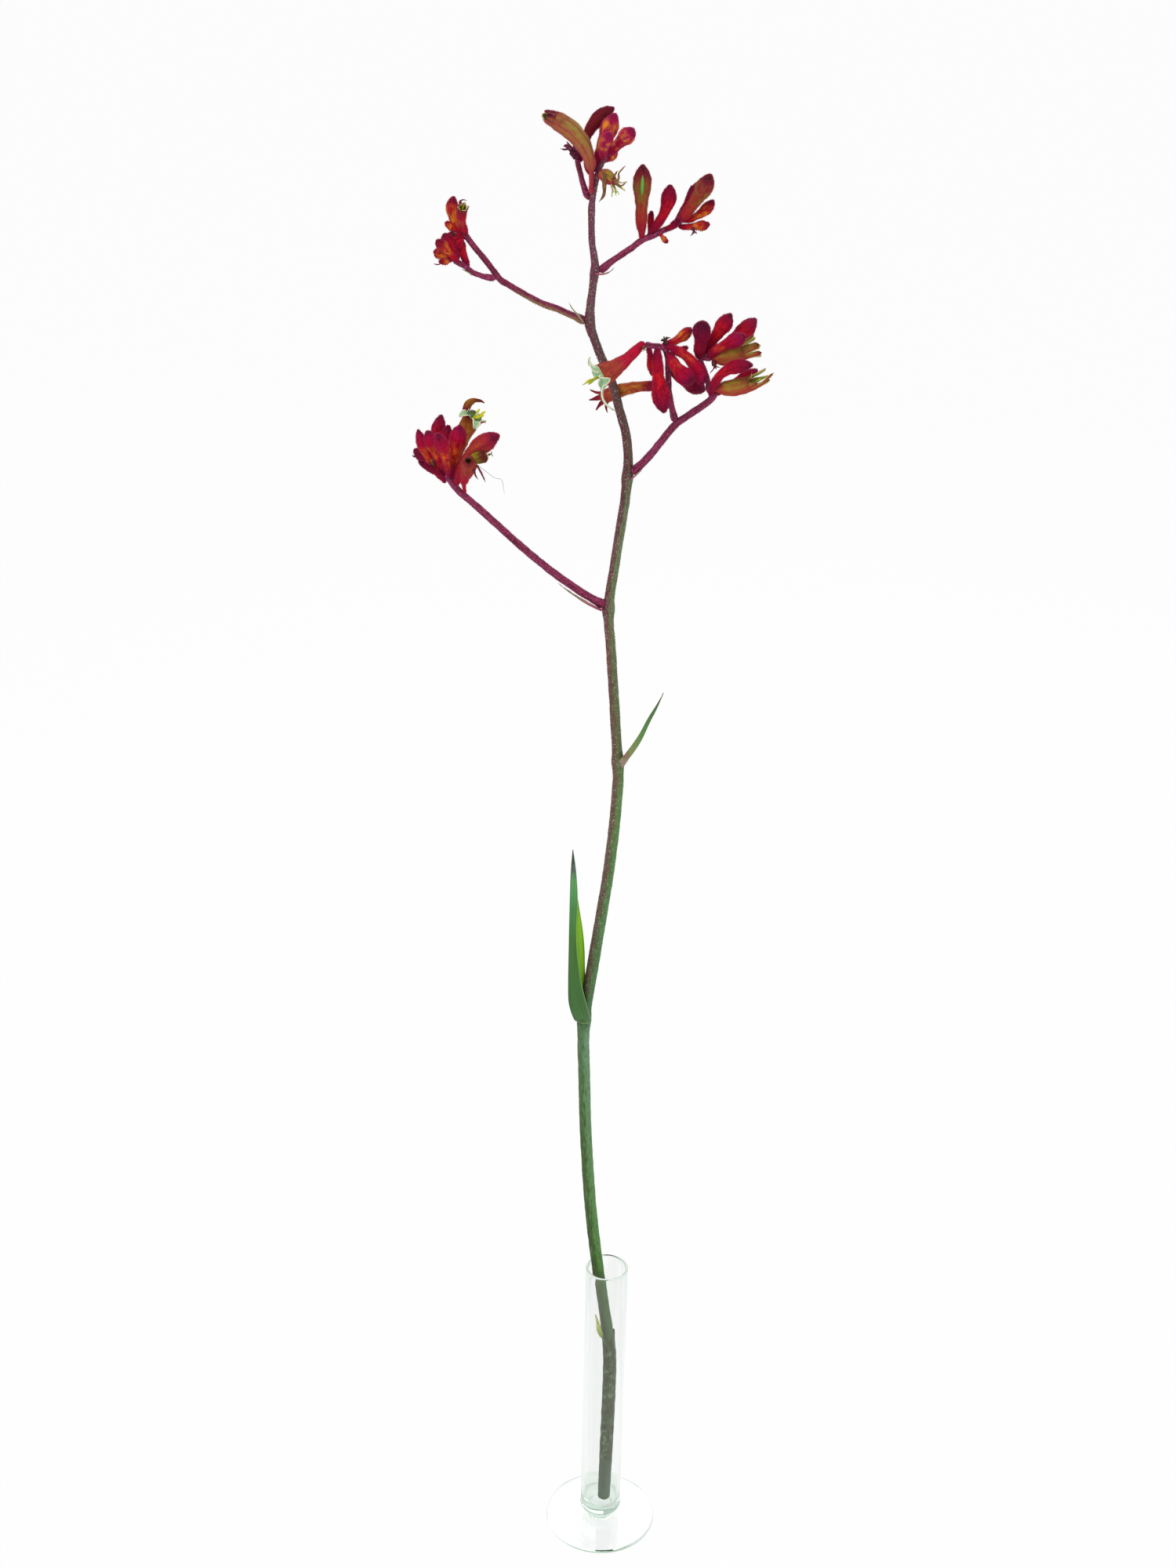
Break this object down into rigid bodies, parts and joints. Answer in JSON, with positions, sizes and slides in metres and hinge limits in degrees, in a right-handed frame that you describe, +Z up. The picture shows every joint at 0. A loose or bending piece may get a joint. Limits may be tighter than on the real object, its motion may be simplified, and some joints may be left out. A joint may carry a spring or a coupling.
{
  "type": "kangaroo paw in vase",
  "caption": "Branched stem of red kangaroo paw with velvety buds and open flowers, leaning in a slim clear glass bud vase on a round foot.",
  "frame": {"origin": "centre of the vase foot's flat underside, on the surface it stands on", "axes": "+Z up along the vase's axis, +X to the right and -Y towards the viewer, as the flower is seen from its front"},
  "size_m": [0.1648, 0.0686, 0.8133],
  "materials": {
    "glass": "gloss",
    "stem": "matte",
    "leaf": "satin",
    "bud": "matte",
    "flower": "matte"
  },
  "bodies": {
    "root": {"crown_bud_1": "bud", "crown_bud_2": "bud", "crown_bud_3": "bud", "crown_bud_4": "bud", "crown_bud_5": "bud", "crown_flower_1": "flower", "crown_flower_2": "flower", "crown_twig": "stem", "lower_leaf": "leaf", "lower_left_bract": "leaf", "lower_left_branch": "stem", "lower_left_bud_1": "bud", "lower_left_bud_2": "bud", "lower_left_bud_3": "bud", "lower_left_bud_4": "bud", "lower_left_bud_5": "bud", "lower_left_bud_6": "bud", "lower_left_bud_7": "bud", "lower_left_bud_8": "bud", "lower_left_flower_1": "flower", "lower_left_flower_2": "flower", "main_stem": "stem", "middle_right_branch": "stem", "middle_right_bud_1": "bud", "middle_right_bud_10": "bud", "middle_right_bud_11": "bud", "middle_right_bud_2": "bud", "middle_right_bud_3": "bud", "middle_right_bud_4": "bud", "middle_right_bud_5": "bud", "middle_right_bud_6": "bud", "middle_right_bud_7": "bud", "middle_right_bud_8": "bud", "middle_right_bud_9": "bud", "middle_right_flower_1": "flower", "middle_right_flower_2": "flower", "middle_right_flower_3": "flower", "middle_right_flower_4": "flower", "middle_right_inner_twig": "stem", "middle_right_outer_twig": "stem", "upper_leaf": "leaf", "upper_left_bract": "leaf", "upper_left_branch": "stem", "upper_left_bud_1": "bud", "upper_left_bud_2": "bud", "upper_left_bud_3": "bud", "upper_left_bud_4": "bud", "upper_left_bud_5": "bud", "upper_left_flower_1": "flower", "upper_left_twig": "stem", "upper_right_branch": "stem", "upper_right_bud_1": "bud", "upper_right_bud_2": "bud", "upper_right_bud_3": "bud", "upper_right_bud_4": "bud", "upper_right_bud_5": "bud", "upper_right_bud_6": "bud", "vase_foot": "glass", "vase_tube": "glass"}
  },
  "joints": []
}
